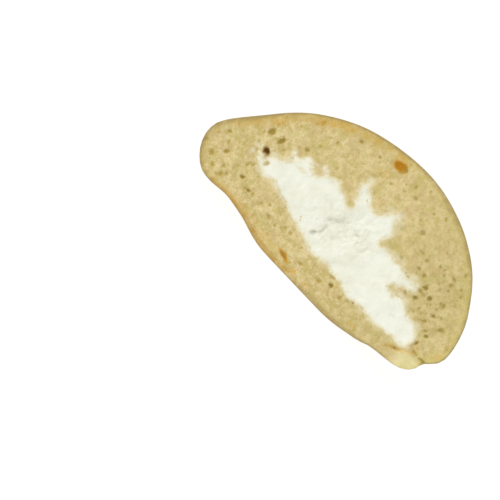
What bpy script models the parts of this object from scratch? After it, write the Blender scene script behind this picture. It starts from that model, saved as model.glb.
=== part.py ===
"""Half of a cream-filled doughnut, cut down its middle and stood on its underside.

The cut face looks along -Y, +X runs along the base towards the torn lip, and +Z is up. The
origin is on the ground, under the middle of the half. Outlines are in millimetres, as the x and
the height of points on the cut face, and become metres when a mesh is made from them.
"""

import bmesh
import bpy
import numpy as np
from math import cos, hypot, pi, radians, sin
from mathutils import Euler, Matrix, Vector, geometry, noise

MM = 0.001

# Driving sizes, in millimetres
WIDTH = 92.0  # along the base of the cut face
HEIGHT = 48.5  # from the ground to the top of the dome
DEPTH = 46.0  # from the cut face to the back
CREAM_DEPTH = 28.0  # how far the filling runs back from the cut
GAP = 0.3  # clearance between the filling and the pocket that holds it
CRUMB_STEP = 1.8  # spacing of the points on the cut face
CRUMB_RELIEF = 0.5  # how far the cut crumb dips between its high points
CRUMB_DIP = 5.0  # how far apart those dips lie
CREAM_RELIEF = 1.1
CREAM_DIP = 6.0
RIB_POINTS = 53  # from the top of the dome to the middle of the base
RIBS = 31  # round the half, from one side of the cut to the other
MOUTH_POINTS = 192  # round the edge of the filling

# The crust swells and dips a little, outwards from the middle of the bun
SWELL = 0.55
SWELL_SIZE = 26.0
MIDDLE_HEIGHT = 17.0
SWELL_START = 9.0  # how far behind the cut it has its full swell

# The flat spot that the half stands on: its middle and its half widths on the ground
FLAT_MIDDLE = (1.0, 15.0)
FLAT_REACH = (13.0, 20.0)
FLAT_EDGE = 1.9  # how many times that reach the underside takes to become round
UNDERSIDE = 14.0  # the height up to which it does

# The crust on the cut face, from the top of the dome down each side to the middle of the base
DOME_RIGHT = [
    (0.0, 48.3), (8.6, 48.5), (17.2, 46.8), (25.9, 43.4), (34.5, 37.7), (41.7, 29.1),
    (44.6, 23.2), (46.0, 17.5),
]
LIP = [(45.6, 14.4), (43.9, 12.2), (42.6, 11.0), (42.4, 8.9), (41.0, 6.7), (38.1, 5.0)]
PLAIN_EDGE = [(45.8, 13.6), (44.3, 9.7), (41.4, 6.6), (37.6, 4.9)]  # past the end of the lip
BASE_RIGHT = [(33.6, 4.2), (29.0, 3.5), (24.9, 2.0), (18.0, 1.0), (9.0, 0.3), (0.0, 0.0)]
CRUST_LEFT = [
    (0.0, 48.3), (-9.9, 46.5), (-18.4, 43.6), (-26.8, 38.6), (-32.9, 33.1), (-38.5, 26.0),
    (-43.1, 20.0), (-45.5, 16.0), (-45.9, 12.5), (-44.9, 9.0), (-42.6, 5.8), (-39.2, 3.4),
    (-35.0, 2.9), (-29.5, 3.5), (-24.0, 2.8), (-16.0, 1.4), (-8.0, 0.4), (0.0, 0.0),
]
LIP_TURN = radians(24)  # how far round from the cut the lip fades out

# The edge of the cream on the cut face, from its lower right end up, over and back below
CREAM_EDGE = [
    (34.8, 10.1), (36.3, 11.3), (36.1, 12.6), (36.0, 14.0), (35.2, 15.1), (33.6, 16.2),
    (31.6, 17.0), (30.1, 17.1), (28.7, 17.6), (27.5, 18.4), (26.2, 19.1), (24.5, 19.0),
    (23.3, 18.6), (22.1, 18.2), (20.8, 18.5), (20.0, 19.3), (20.7, 20.3), (22.3, 21.2),
    (24.3, 22.0), (26.0, 22.7), (26.4, 24.0), (25.6, 25.0), (23.8, 24.9), (22.3, 24.1),
    (20.6, 24.6), (18.4, 25.0), (16.7, 24.7), (15.3, 25.5), (13.6, 25.3), (12.3, 25.5),
    (10.9, 24.8), (9.8, 25.5), (9.5, 26.8), (10.5, 28.2), (10.5, 29.7), (9.7, 31.0),
    (9.2, 32.4), (8.6, 33.6), (7.9, 34.7), (6.9, 34.3), (6.4, 33.0), (5.0, 31.7), (4.0, 30.5),
    (1.8, 30.2), (0.2, 30.9), (-0.8, 32.1), (-2.3, 32.9), (-3.4, 34.1), (-4.2, 35.2),
    (-5.1, 34.5), (-5.2, 32.8), (-4.4, 31.4), (-3.9, 30.0), (-3.3, 28.6), (-2.5, 27.6),
    (-2.2, 26.5), (-2.9, 25.8), (-4.6, 26.3), (-6.4, 27.2), (-8.6, 27.5), (-9.4, 28.4),
    (-11.2, 28.6), (-12.6, 27.9), (-14.2, 27.6), (-14.9, 26.3), (-15.8, 25.3), (-17.1, 25.5),
    (-18.1, 26.4), (-19.3, 26.9), (-20.4, 27.4), (-21.4, 26.8), (-21.7, 25.4), (-22.2, 24.1),
    (-23.6, 23.7), (-24.7, 22.9), (-25.3, 21.6), (-26.5, 20.9), (-27.9, 20.3), (-28.4, 19.3),
    (-28.9, 18.4), (-30.2, 18.3), (-31.0, 17.7), (-30.4, 16.8), (-29.1, 16.3), (-27.6, 15.6),
    (-25.9, 14.9), (-24.5, 15.2), (-23.0, 15.9), (-21.4, 15.8), (-20.0, 15.0), (-18.2, 14.5),
    (-16.2, 14.0), (-14.2, 13.1), (-11.6, 12.5), (-8.2, 11.6), (-5.0, 10.8), (-2.6, 9.8),
    (-0.8, 9.8), (1.4, 10.1), (4.0, 10.7), (6.4, 9.9), (9.6, 10.0), (12.2, 9.1), (15.4, 8.6),
    (18.4, 9.2), (22.0, 8.9), (26.0, 8.9), (29.4, 9.4), (31.8, 10.0),
]

# Gas holes and tears large enough to be open hollows: x, z, width, height, depth, tilt in degrees
HOLES = [
    (-1.2, 44.2, 5.0, 2.8, 2.4, 4),
    (-29.4, 25.1, 1.6, 3.0, 1.6, -15),
    (-33.1, 25.0, 2.1, 2.6, 1.4, -12),
    (-27.4, 23.8, 0.9, 1.3, 1.0, -30),
    (-22.7, 28.6, 1.9, 1.4, 1.1, 20),
    (-13.3, 31.0, 1.4, 1.2, 0.9, 0),
    (-14.0, 41.1, 1.8, 1.4, 1.1, 15),
    (7.9, 41.2, 1.7, 1.6, 1.1, 0),
    (16.1, 36.2, 2.2, 1.7, 1.2, -15),
    (4.1, 40.3, 2.2, 1.0, 0.8, 0),
    (-30.4, 20.2, 2.2, 1.6, 2.4, -35),
    (28.1, 26.0, 1.3, 1.9, 1.3, 0),
    (30.7, 24.8, 1.9, 1.8, 1.3, 20),
    (31.0, 28.6, 1.2, 1.5, 0.9, 0),
    (27.9, 22.1, 1.7, 1.5, 1.1, 25),
    (35.3, 22.2, 2.3, 1.2, 1.1, 10),
    (33.1, 21.2, 1.3, 0.9, 0.8, 0),
    (33.5, 18.9, 1.4, 1.1, 0.9, 0),
    (37.3, 28.3, 1.2, 1.3, 0.8, 20),
    (36.4, 31.3, 1.5, 1.5, 0.8, 0),
    (37.8, 16.9, 1.7, 1.4, 1.2, 30),
    (39.6, 20.9, 2.9, 0.9, 1.0, 32),
    (37.4, 13.4, 0.8, 2.4, 1.1, -15),
    (9.2, 7.3, 2.2, 1.5, 1.1, 20),
    (25.0, 5.2, 1.1, 0.9, 0.8, 0),
    (-16.8, 7.9, 2.9, 1.0, 1.0, -25),
    (-11.0, 9.0, 1.9, 0.8, 0.8, -45),
    (-25.9, 8.8, 2.2, 1.2, 1.0, 10),
    (-29.8, 10.2, 1.6, 1.3, 1.1, 0),
    (-33.0, 10.2, 1.1, 1.0, 0.8, 0),
    (-38.0, 11.9, 1.5, 2.1, 1.2, -30),
    (-41.3, 16.5, 1.7, 1.6, 1.2, 0),
    (-35.0, 18.6, 1.0, 1.4, 0.9, -20),
    (-31.3, 13.4, 1.3, 1.8, 1.0, -20),
    (-5.9, 3.4, 4.2, 1.1, 1.2, -14),
]
# The seam that parts the lip from the side, and the fold in the base beside it, both as hollows
SEAM = [
    (39.0, 11.4, 3.0, 0.8, 1.0, -8),
    (42.2, 11.2, 3.8, 0.9, 1.6, 4),
    (34.2, 8.1, 4.2, 0.8, 1.0, 20),
]
STAND_OFF = 0.1  # how far in front of the cut a hollow's middle lies, as a share of its depth

# The furrow torn in the cream by the knife, and how wide and deep it is
FURROW = [(-5.0, 13.8), (-3.4, 16.2), (-3.3, 18.6), (-2.0, 21.2), (-0.2, 22.8)]
FURROW_WIDTH = 1.3
FURROW_DEPTH = 1.0

# The filling's outline is taken at these shares of its depth, and each is less ragged than the
# one before. It narrows as a rounded box does, by those powers.
RING_SHARES = (0.0, 0.1, 0.25, 0.45, 0.65, 0.84, 0.96)
RING_SMOOTHING = 400  # how often the last outline would be smoothed
BACK_POWER = 2.6
SIDE_POWER = 2.2


def through(points, count, before=None, after=None):
    """That many points at equal steps along a smooth curve through the given ones. Without the
    points that come before and after them, the curve is a closed loop."""
    steps_between = 16
    longest_pull = 1.1  # times the gap between two points, so that the curve can't loop
    closed = before is None
    if closed:
        before, after = points[-1], points[1]
        points = [*points, points[0]]
    points = np.array([before, *points, after], float)
    dense = []
    for previous, start, end, following in zip(points, points[1:], points[2:], points[3:]):
        leave = (end - previous) / 2
        arrive = (following - start) / 2
        longest = np.linalg.norm(end - start) * longest_pull
        leave *= min(1, longest / np.linalg.norm(leave))
        arrive *= min(1, longest / np.linalg.norm(arrive))
        for t in np.linspace(0, 1, steps_between, endpoint=False):
            dense.append(
                start * (2 * t**3 - 3 * t**2 + 1) + leave * (t**3 - 2 * t**2 + t)
                + end * (3 * t**2 - 2 * t**3) + arrive * (t**3 - t**2)
            )
    dense.append(points[-2])
    dense = np.array(dense)
    along = np.append(0, np.cumsum(np.linalg.norm(np.diff(dense, axis=0), axis=1)))
    steps = np.linspace(0, along[-1], count + closed)[:count]
    return np.stack([np.interp(steps, along, dense[:, k]) for k in (0, 1)], axis=1)


def crust_profiles(count):
    """The crust from the top to the middle of the base, in that many points: down the right side
    by the lip, down the right side where the lip has ended, and down the left side."""
    over_top, over_base = CRUST_LEFT[1], CRUST_LEFT[-2]
    lipped = through(DOME_RIGHT + LIP + BASE_RIGHT, count, over_top, over_base)
    plain = through(DOME_RIGHT + PLAIN_EDGE + BASE_RIGHT, count, over_top, over_base)
    left = through(CRUST_LEFT, count, DOME_RIGHT[1], BASE_RIGHT[-2])
    scale = (
        WIDTH / (lipped[:, 0].max() - left[:, 0].min()),
        HEIGHT / max(lipped[:, 1].max(), left[:, 1].max()),
    )
    return lipped * scale, plain * scale, left * scale


def eased(t):
    """0 to 1 with no corner at either end."""
    t = min(max(t, 0.0), 1.0)
    return t * t * (3 - 2 * t)


def wobble(x, y, z, size):
    """Smooth unevenness from -1 to 1, with swells of about the given size in millimetres."""
    return noise.noise(Vector((x, y, z)) / size)


def on_crust(x, y, z):
    """A point of the round bun with the unevenness of its crust and the flat that it stands on."""
    reach = hypot((x - FLAT_MIDDLE[0]) / FLAT_REACH[0], (y - FLAT_MIDDLE[1]) / FLAT_REACH[1])
    low = 1 - eased(z / UNDERSIDE)
    lift = SWELL * wobble(x, y, z, SWELL_SIZE) * eased(y / SWELL_START)
    out = Vector((x, y, z - MIDDLE_HEIGHT)).normalized() * lift
    z += out.z
    z *= 1 - low * (1 - eased((reach - 1) / (FLAT_EDGE - 1)))
    return Vector((x + out.x, max(y + out.y, 0.0), max(z, 0.0)))


def cut_relief(x, z, depth, size):
    """How far back a point of the cut lies, 0 on its high spots: broad dips with finer ones."""
    fine = 0.4
    rough = (1 - fine) * wobble(x, 3.0, z, size) + fine * wobble(x, 9.0, z, size * fine)
    return depth * min(max(0.5 + rough, 0.0), 1.0)


def crumb_relief(x, z):
    """How far back the crumb lies there, which the edge of the cream shares."""
    return cut_relief(x, z, CRUMB_RELIEF, CRUMB_DIP)


def furrow(x, z):
    """How deep the knife's furrow is at a point of the cream."""
    here = Vector((x, z))
    nearest = FURROW_WIDTH
    for start, end in zip(FURROW, FURROW[1:]):
        share = geometry.intersect_point_line(here, start, end)[1]
        on_line = Vector(start).lerp(end, min(max(share, 0.0), 1.0))
        nearest = min(nearest, (here - on_line).length)
    return FURROW_DEPTH * (1 - nearest / FURROW_WIDTH)


def inside(x, z, loop):
    """Whether a point lies inside a closed loop."""
    crossings = 0
    for (ax, az), (bx, bz) in zip(loop, np.roll(loop, -1, axis=0)):
        if (az > z) != (bz > z) and x < ax + (z - az) * (bx - ax) / (bz - az):
            crossings += 1
    return crossings % 2 == 1


def grown(loop, by):
    """A closed loop moved outwards by that much."""
    along = np.roll(loop, -1, axis=0) - np.roll(loop, 1, axis=0)
    out = np.stack([along[:, 1], -along[:, 0]], axis=1) / np.linalg.norm(along, axis=1)[:, None]
    turning = np.sum(loop[:, 0] * np.roll(loop[:, 1], -1) - loop[:, 1] * np.roll(loop[:, 0], -1))
    return loop + out * by * np.sign(turning)


def filling_rings(by):
    """The filling's outline at each depth, grown by that much: a list of (loop, y)."""
    edge = through(CREAM_EDGE, MOUTH_POINTS)
    middle = edge.mean(axis=0)
    rings = []
    for k, share in enumerate(RING_SHARES):
        loop = edge.copy()
        for _ in range(int(RING_SMOOTHING * share)):
            loop = (np.roll(loop, 1, axis=0) + 2 * loop + np.roll(loop, -1, axis=0)) / 4
        reach = (1 - share**BACK_POWER) ** (1 / SIDE_POWER)
        loop = grown(middle + (loop - middle) * reach, by)
        rings.append((loop[::2] if k > 1 else loop, share * (CREAM_DEPTH + by)))
    return rings


def add_loop(bm, points):
    """New vertices at those points, in order."""
    return [bm.verts.new(point) for point in points]


def bridge(bm, first, second):
    """Faces between two closed loops, the second with as many points or half as many."""
    halved = len(second) < len(first)
    for k in range(len(second)):
        n = (k + 1) % len(second)
        if halved:
            start, between, end = (first[(2 * k + step) % len(first)] for step in range(3))
            bm.faces.new((start, between, second[k]))
            bm.faces.new((between, second[n], second[k]))
            bm.faces.new((between, end, second[n]))
        else:
            bm.faces.new((first[k], first[n], second[n], second[k]))


def add_filling_wall(bm, mouth, by):
    """The side and back of the filling or of its pocket, from its mouth on the cut."""
    rings = filling_rings(by)
    last = mouth
    for loop, y in rings[1:]:
        ring = add_loop(bm, [(x, y, z) for x, z in loop])
        bridge(bm, last, ring)
        last = ring
    end = rings[-1][0].mean(axis=0)
    tip = bm.verts.new((end[0], CREAM_DEPTH + by, end[1]))
    for k, vert in enumerate(last):
        bm.faces.new((vert, last[(k + 1) % len(last)], tip))


def add_cut_face(bm, outer, hole, step, relief):
    """Triangles over the cut between a loop of points and the hole in it, if there is one."""
    loops = [outer] + ([hole] if hole else [])
    flat = [np.array([(v.co.x, v.co.z) for v in loop]) for loop in loops]
    edge_points = np.vstack(flat)
    low, high = flat[0].min(axis=0), flat[0].max(axis=0)
    stray, stray_size = 0.25 * step, 1.3
    row_gap = step * sin(radians(60))
    inner = []
    for row, z_row in enumerate(np.arange(low[1], high[1], row_gap)):
        for x_row in np.arange(low[0] + step * (row % 2) / 2, high[0], step):
            x = x_row + stray * wobble(x_row, 1.0, z_row, stray_size)
            z = z_row + stray * wobble(x_row, 5.0, z_row, stray_size)
            clear = np.hypot(*(edge_points - (x, z)).T).min() > 0.6 * step
            if clear and inside(x, z, flat[0]) and not (hole and inside(x, z, flat[1])):
                inner.append((x, z))
    verts = [v for loop in loops for v in loop]
    verts += [bm.verts.new((x, relief(x, z), z)) for x, z in inner]
    edges = []
    for loop in flat:
        start = len(edges)
        edges += [(start + k, start + (k + 1) % len(loop)) for k in range(len(loop))]
    points = [Vector(point) for point in [*edge_points, *inner]]
    made, _, triangles, origins, _, _ = geometry.delaunay_2d_cdt(points, edges, [], 0, 1e-5)
    for triangle in triangles:
        x, z = sum((made[k] for k in triangle), Vector((0, 0))) / 3
        if inside(x, z, flat[0]) and not (hole and inside(x, z, flat[1])):
            bm.faces.new([verts[origins[k][0]] for k in triangle])


def finished(bm, name, material):
    """A named object from the mesh, in metres, with the origin under the middle of the half."""
    bmesh.ops.recalc_face_normals(bm, faces=bm.faces)
    bm.transform(Matrix.Scale(MM, 4) @ Matrix.Translation((0, -DEPTH / 2, 0)))
    mesh = bpy.data.meshes.new(name)
    bm.to_mesh(mesh)
    bm.free()
    mesh.shade_smooth()
    mesh.set_sharp_from_angle(angle=radians(40))
    mesh.materials.append(material)
    obj = bpy.data.objects.new(name, mesh)
    bpy.context.scene.collection.objects.link(obj)
    return obj


def finish(name, colour, roughness):
    """A plain material."""
    material = bpy.data.materials.new(name)
    material.use_nodes = True
    shader = material.node_tree.nodes["Principled BSDF"]
    shader.inputs["Base Color"].default_value = (*colour, 1)
    shader.inputs["Roughness"].default_value = roughness
    shader.inputs["Metallic"].default_value = 0
    return material


def make_dough():
    """The bun's half: round crust, cut face, and the pocket that the filling sits in."""
    lipped, plain, left = crust_profiles(RIB_POINTS)
    deeper = DEPTH / (WIDTH / 2)
    bm = bmesh.new()
    top = bm.verts.new((0, 0, left[0][1]))
    base = bm.verts.new((0, 0, 0))
    ribs = []
    for turn in np.linspace(0, pi, RIBS):
        share = (1 + cos(turn)) / 2  # of the right side's shape, the rest is the left's
        right = plain + (lipped - plain) * eased(1 - turn / LIP_TURN)
        rib = []
        for (rx, rz), (lx, lz) in zip(right[1:-1], left[1:-1]):
            out = share * rx - (1 - share) * lx
            z = share * rz + (1 - share) * lz
            y = out * sin(turn) * deeper
            rib.append(bm.verts.new(on_crust(out * cos(turn), y, z)))
        ribs.append(rib)
    for first, second in zip(ribs, ribs[1:]):
        bm.faces.new((top, first[0], second[0]))
        bm.faces.new((base, second[-1], first[-1]))
        for k in range(len(first) - 1):
            bm.faces.new((first[k], first[k + 1], second[k + 1], second[k]))
    for vert in [top, base, *ribs[0], *ribs[-1]]:
        vert.co.y = 0

    mouth = add_loop(bm, [(x, crumb_relief(x, z), z) for x, z in filling_rings(GAP)[0][0]])
    outer = [top, *ribs[0], base, *reversed(ribs[-1])]
    add_cut_face(bm, outer, mouth, CRUMB_STEP, crumb_relief)
    add_filling_wall(bm, mouth, GAP)
    return finished(bm, "dough", finish("baked dough", (0.58, 0.44, 0.21), 0.75))


def make_cream():
    """The whipped filling, level with the cut and rough where the knife dragged through it."""
    bm = bmesh.new()

    def relief(x, z):
        return cut_relief(x, z, CREAM_RELIEF, CREAM_DIP) + furrow(x, z)

    mouth = add_loop(bm, [(x, crumb_relief(x, z), z) for x, z in filling_rings(0)[0][0]])
    add_cut_face(bm, mouth, None, CRUMB_STEP, relief)
    add_filling_wall(bm, mouth, 0)
    return finished(bm, "cream", finish("whipped cream", (0.86, 0.85, 0.7), 0.5))


def cut_holes(dough):
    """Opens the gas holes and the seam of the lip in the cut face."""
    bm = bmesh.new()
    for x, z, width, height, depth, tilt in HOLES + SEAM:
        place = Matrix.Translation((x, -STAND_OFF * depth, z))
        turn = Euler((0, radians(-tilt), 0)).to_matrix().to_4x4()
        size = Matrix.Diagonal((width / 2, (1 + STAND_OFF) * depth, height / 2, 1))
        bmesh.ops.create_icosphere(bm, subdivisions=2, radius=1, matrix=place @ turn @ size)
    cutter = finished(bm, "holes", None)
    cutter.hide_render = True
    cutter.display_type = "WIRE"
    hollow = dough.modifiers.new("gas holes", "BOOLEAN")
    hollow.operation = "DIFFERENCE"
    hollow.use_self = True
    hollow.object = cutter


for old in list(bpy.data.objects):
    bpy.data.objects.remove(old)
cut_holes(make_dough())
make_cream()
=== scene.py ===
"""Looks of the filled doughnut's half: baked skin, open crumb, whipped cream and loose crumbs.

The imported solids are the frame. The half stands on its underside with the cut looking along -Y.
Meshes are worked out in millimetres, as x and height on the cut, and become metres at the end.
"""

from math import cos, pi, radians, sin

import bmesh
import bpy
import numpy as np
from mathutils import Matrix, Vector, geometry, noise
from mathutils.bvhtree import BVHTree


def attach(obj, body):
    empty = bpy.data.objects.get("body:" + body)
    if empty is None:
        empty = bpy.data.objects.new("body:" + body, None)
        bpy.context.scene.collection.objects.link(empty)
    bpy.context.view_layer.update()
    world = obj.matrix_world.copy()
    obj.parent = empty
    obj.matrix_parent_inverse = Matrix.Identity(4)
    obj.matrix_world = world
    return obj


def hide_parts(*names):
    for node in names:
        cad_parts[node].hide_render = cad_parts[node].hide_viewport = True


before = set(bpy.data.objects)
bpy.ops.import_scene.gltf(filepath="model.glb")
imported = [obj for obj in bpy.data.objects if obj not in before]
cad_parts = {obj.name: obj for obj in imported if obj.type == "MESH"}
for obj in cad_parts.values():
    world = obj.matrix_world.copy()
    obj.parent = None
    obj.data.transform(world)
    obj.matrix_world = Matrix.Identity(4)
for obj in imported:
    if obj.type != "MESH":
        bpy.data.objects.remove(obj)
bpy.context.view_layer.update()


# Dough -----------------------------------------------------------------------------------------
# A round bun of fine sweet dough with a thin golden skin, cut down its middle with a knife. The
# crumb on the cut is close and even, pressed smooth near the skin and torn open round the cream.

MM = 0.001  # a millimetre, in the scene's metres
MIDDLE_HEIGHT = 17.0  # of a place inside the half from which its whole skin can be seen
FAR = 80  # farther from that place than any of the skin
SHARP = radians(45)  # the skin ends where the solid turns by more than this
FINE_TURNS = 2880  # directions in which the rim is first measured
JUST_BEHIND = 0.02  # how far behind the cut it is measured
RIM_STEP = 0.46  # spacing of points along the rim of the cut
RIM_BLUR = 8
SKIN_RINGS = 50  # rows of faces from the rim to the middle of the back
RING_CROWDING = 1.25  # above 1, the rings lie closer together near the rim
RING_BLUR = 30
BACK_REACH = 0.7  # the even grid's half width, as a share of the half's reach
BACK_GRID = 91
BACK_BLUR = 40
BACK_BLEND = (0.4, 0.6)  # it takes over within these shares
POCKET_DEPTH = 2.5  # no gas hole reaches so deep, and the pocket's wall does
DEEPEST = 2.6  # what lies deeper behind the cut is drawn as deep as this
CRUMB_STEP = 0.28  # spacing of points on the cut, and as shares of it,
ROW_STEP = 0.87  # the spacing of their rows,
JITTER = 0.28  # how far each strays from its place,
EDGE_GAP = 0.55  # how far they stay from the line round them
MOUTH_GAP = 0.2  # and how far from the pocket
FINE_RELIEF = 0.16
SLIVER = 0.002  # twice the area below which three points lie in a line
WANDER = 0.3  # how far the edges of the big holes stray from round
IN_FRONT = 5  # a ray at the cut starts so far in front of it,
RAY_LENGTH = 9  # and is so long

# The lip was folded under at the lower right: the seam that it left, the fold beside it and the
# crease above them, as x and height along the line, then half width and depth
SEAM = [(36.9, 13.9), (37.1, 12.6), (38.3, 11.2), (40.4, 10.8), (43.4, 11.2)]
SEAM_SIZE = (0.35, 0.7)
SEAM_LENGTH = 4  # how far back over the skin it runs
FOLD = [(31.2, 6.9), (33.4, 7.9), (35.4, 8.9), (37.2, 10.0)]
FOLD_SIZE = (0.45, 0.45)
CREASE = [(37.2, 18.9), (38.6, 19.7), (41.0, 21.6)]
CREASE_SIZE = (0.35, 0.4)

# Where the cream's edge strays from the pocket's: sizes of the strays, and how far they go
STRAYS = [(1.6, 0.5), (0.7, 0.25)]
STRAY_BELT = 4  # they are worked out this near to the pocket's edge
FILM = 0.12  # how far the cream stands in front of the crumb
FILM_RISE = 1.6  # how far in from its edge it takes to stand so far

# Places on the cut are ragged ovals: strength from 0 to 1, then x, height, width, height of the
# oval and tilt in degrees. These are where the cream's edge is thin and the crumb shows through.
SPOT_RAGGED = 0.35  # how far an oval's edge strays, as a share of its reach
SPOT_SWELLS = 1.1  # size of the strays
THIN = [
    (1.0, -27.9, 17.7, 1.5, 1.9, -15), (0.5, -29.8, 18.0, 1.8, 1.2, 0),
    (0.5, -19.8, 23.7, 3.2, 1.3, 10), (0.45, -24.6, 22.4, 2.6, 1.4, 25),
    (0.45, -15.6, 26.0, 2.4, 1.8, 0), (0.6, 23.0, 17.9, 1.6, 1.6, 0),
    (0.5, 21.2, 19.4, 2.4, 1.2, 10), (0.35, -5.0, 33.6, 1.6, 3.0, 0),
    (0.35, 8.6, 33.0, 2.4, 2.6, 20), (0.4, 24.8, 24.2, 3.0, 1.6, 0),
]
MILKY = [  # and where the knife rubbed a film of cream over the crumb
    (1.0, -22.6, 24.6, 3.0, 1.8, 0), (0.9, -24.6, 25.4, 1.4, 1.6, 0),
    (1.0, -20.4, 27.1, 1.5, 1.4, 10), (0.8, -15.2, 28.6, 2.0, 1.8, 0),
    (0.5, -19.3, 25.4, 2.6, 1.0, 10), (0.9, -29.9, 17.2, 2.2, 0.9, 0),
    (0.4, -18.0, 27.8, 2.4, 1.0, 20), (0.4, -4.3, 35.8, 2.0, 1.8, 0),
    (0.45, 8.4, 35.0, 2.6, 1.8, 0), (0.25, 10.5, 32.5, 2.0, 4.5, 10),
    (0.3, 5.3, 33.9, 2.0, 2.0, 0), (0.35, 16.5, 26.3, 4.4, 1.4, 0),
    (0.45, 23.5, 26.0, 2.0, 1.6, 0), (0.35, 25.0, 19.9, 6.0, 1.2, 0),
    (0.35, 34.0, 17.1, 2.4, 1.4, 0), (0.5, -32.8, 19.8, 1.8, 1.6, 0),
    (0.4, -33.2, 17.2, 1.4, 2.2, 0), (0.35, -29.8, 21.4, 1.0, 1.2, 0),
    (0.45, -28.0, 21.3, 2.8, 1.0, 20), (0.45, -27.6, 14.9, 3.4, 1.4, 0),
    (0.45, -21.8, 15.2, 2.6, 1.2, 0), (0.6, -31.3, 18.5, 1.4, 0.8, 0),
]
CREAM_SHADE_SPOTS = [  # painted shade that greys the cream in the knife's tears and the pit, and grey where crumbs cluster
    (0.6, -5.0, 14.0, 1.4, 1.6, -30), (0.3, -3.7, 16.3, 0.8, 4.0, 10),
    (0.3, -4.4, 19.9, 1.8, 1.2, 0), (0.25, -2.2, 21.3, 4.5, 1.2, 25),
    (0.25, -0.3, 22.9, 1.0, 1.0, 0), (0.25, 4.3, 22.3, 2.0, 0.8, 0),
    (0.12, -8.0, 23.0, 3.0, 1.6, 0), (0.2, 27.0, 14.0, 1.8, 1.3, 35),
    (0.7, -27.9, 17.6, 1.2, 1.6, -15),
]
PORES = [  # the gas holes next in size to those that the solid has
    (0.8, -32.5, 18.4, 1.0, 1.2, 0), (0.8, -44.3, 10.4, 0.8, 0.8, 0),
    (0.8, -27.9, 17.6, 1.0, 1.4, -15),
    (0.7, -35.4, 5.5, 1.2, 0.8, 0), (0.9, -30.0, 14.7, 0.7, 0.8, 0),
    (0.8, -25.0, 37.0, 1.1, 1.5, 0), (0.8, 22.6, 28.5, 1.2, 0.9, 0),
    (0.7, 19.8, 32.2, 2.2, 0.6, 0), (0.8, 31.6, 33.5, 1.2, 1.0, 0),
    (0.8, 14.4, 41.9, 0.9, 0.8, 0), (0.8, 13.2, 38.0, 1.0, 0.7, 0),
    (0.8, 0.1, 39.0, 0.8, 0.8, 0), (0.8, -7.4, 41.9, 0.9, 0.8, 0),
    (0.8, -18.3, 36.1, 0.9, 0.9, 0), (0.5, -4.9, 36.9, 2.0, 0.7, 20),
    (0.6, 11.5, 33.0, 1.2, 2.5, 0), (0.8, 36.6, 17.9, 0.9, 0.8, 0),
    (0.6, 44.6, 18.5, 0.9, 1.2, 0), (0.8, 34.0, 26.0, 0.8, 0.8, 0),
    (0.8, 32.8, 30.1, 0.8, 0.8, 0), (0.9, 27.4, 24.4, 1.3, 1.2, 0),
    (0.6, 28.8, 24.4, 1.6, 1.0, 0), (0.8, 24.7, 21.1, 1.2, 1.0, 0),
    (0.8, 22.5, 31.6, 1.0, 1.0, 0), (1.0, 8.0, 9.2, 2.4, 0.8, 0),
    (0.8, -18.8, 10.3, 0.8, 0.8, 0), (0.8, -25.9, 8.8, 1.1, 1.0, 0),
    (0.8, -29.8, 10.2, 1.3, 1.0, 0), (0.6, 27.5, 25.8, 1.2, 1.0, 0),
    (0.6, 9.2, 7.3, 1.2, 0.8, 0),
]
PORE_DEPTH = 0.5  # of the deepest of them
OPEN_CRUMB = (32, 22, 18, 18, 0)  # the oval where the crumb has the most holes
PALE_HOLES = (12.5, 38.5, 22, 11, -25)  # and the one where their painted shade is lighter
CARAMEL_SPOTS = [  # baked sugar
    (1.0, -1.9, 44.2, 3.8, 3.0, 4), (0.8, -5.9, 3.4, 4.6, 1.5, -14),
    (0.6, -0.8, 2.4, 2.0, 1.3, -10), (0.35, 33.8, 8.1, 5.8, 1.2, 25),
    (0.3, 36.6, 9.9, 3.0, 0.9, 28), (0.3, -15.0, 2.6, 3.4, 0.7, -5),
    (0.25, -28.5, 4.0, 4.6, 0.7, -8),
]
GLOWING_SPOTS = [  # and where it only tints the crumb
    (0.4, -2.5, 46.2, 3.0, 1.2, 0), (0.35, -33.7, 28.4, 3.2, 2.0, 45),
    (0.4, -25.2, 36.8, 3.4, 1.6, 45), (0.35, -22.5, 39.3, 3.6, 1.6, 40),
    (0.3, -18.8, 41.2, 3.6, 1.4, 30), (0.3, 4.5, 2.4, 2.4, 1.2, 0),
    (0.35, 21.5, 3.8, 2.4, 1.4, 0), (0.3, 44.2, 15.1, 1.8, 2.2, 0),
    (0.35, 36.0, 9.4, 7.0, 1.4, 28), (0.25, 38.3, 12.2, 2.4, 1.6, -40),
    (0.3, -13.0, 3.6, 7.0, 1.2, -8), (0.3, -22.0, 4.6, 7.0, 1.2, -8),
    (0.2, -3.0, 40.0, 5.0, 2.0, 20),
]
# Dark brown spots: painted shade in the dark gas hole, the seam's crevice, the fold, the crease
# and the pit, and one darker patch of baked sugar at the base
PAINTED_DARK_SPOTS = [
    (1.0, -30.1, 19.8, 2.3, 1.9, -35), (0.6, -29.2, 18.8, 1.2, 1.4, 30),
    (0.5, -31.2, 20.6, 1.6, 0.8, 20), (0.4, 37.2, 13.3, 1.0, 2.5, -20),
    (0.15, 39.7, 20.8, 2.9, 0.8, 35), (0.3, -5.9, 3.3, 3.2, 1.1, -14),
    (0.4, -27.9, 17.7, 1.3, 1.7, -15), (0.12, 33.4, 7.9, 3.4, 0.8, 25),
]
# How wide the brown crust is on the cut, by degrees round from the far right over the top
CRUST = [
    (0, 0.3), (8, 0.8), (31, 0.8), (60, 1.3), (75, 0.9), (90, 0.6), (117, 0.5), (141, 0.4),
    (167, 0.8), (181, 1.0), (195, 0.8), (205, 0.9), (224, 1.4), (270, 1.3), (298, 1.4),
    (318, 1.1), (335, 0.4), (343, 0.15), (352, 0.2),
]


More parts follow.
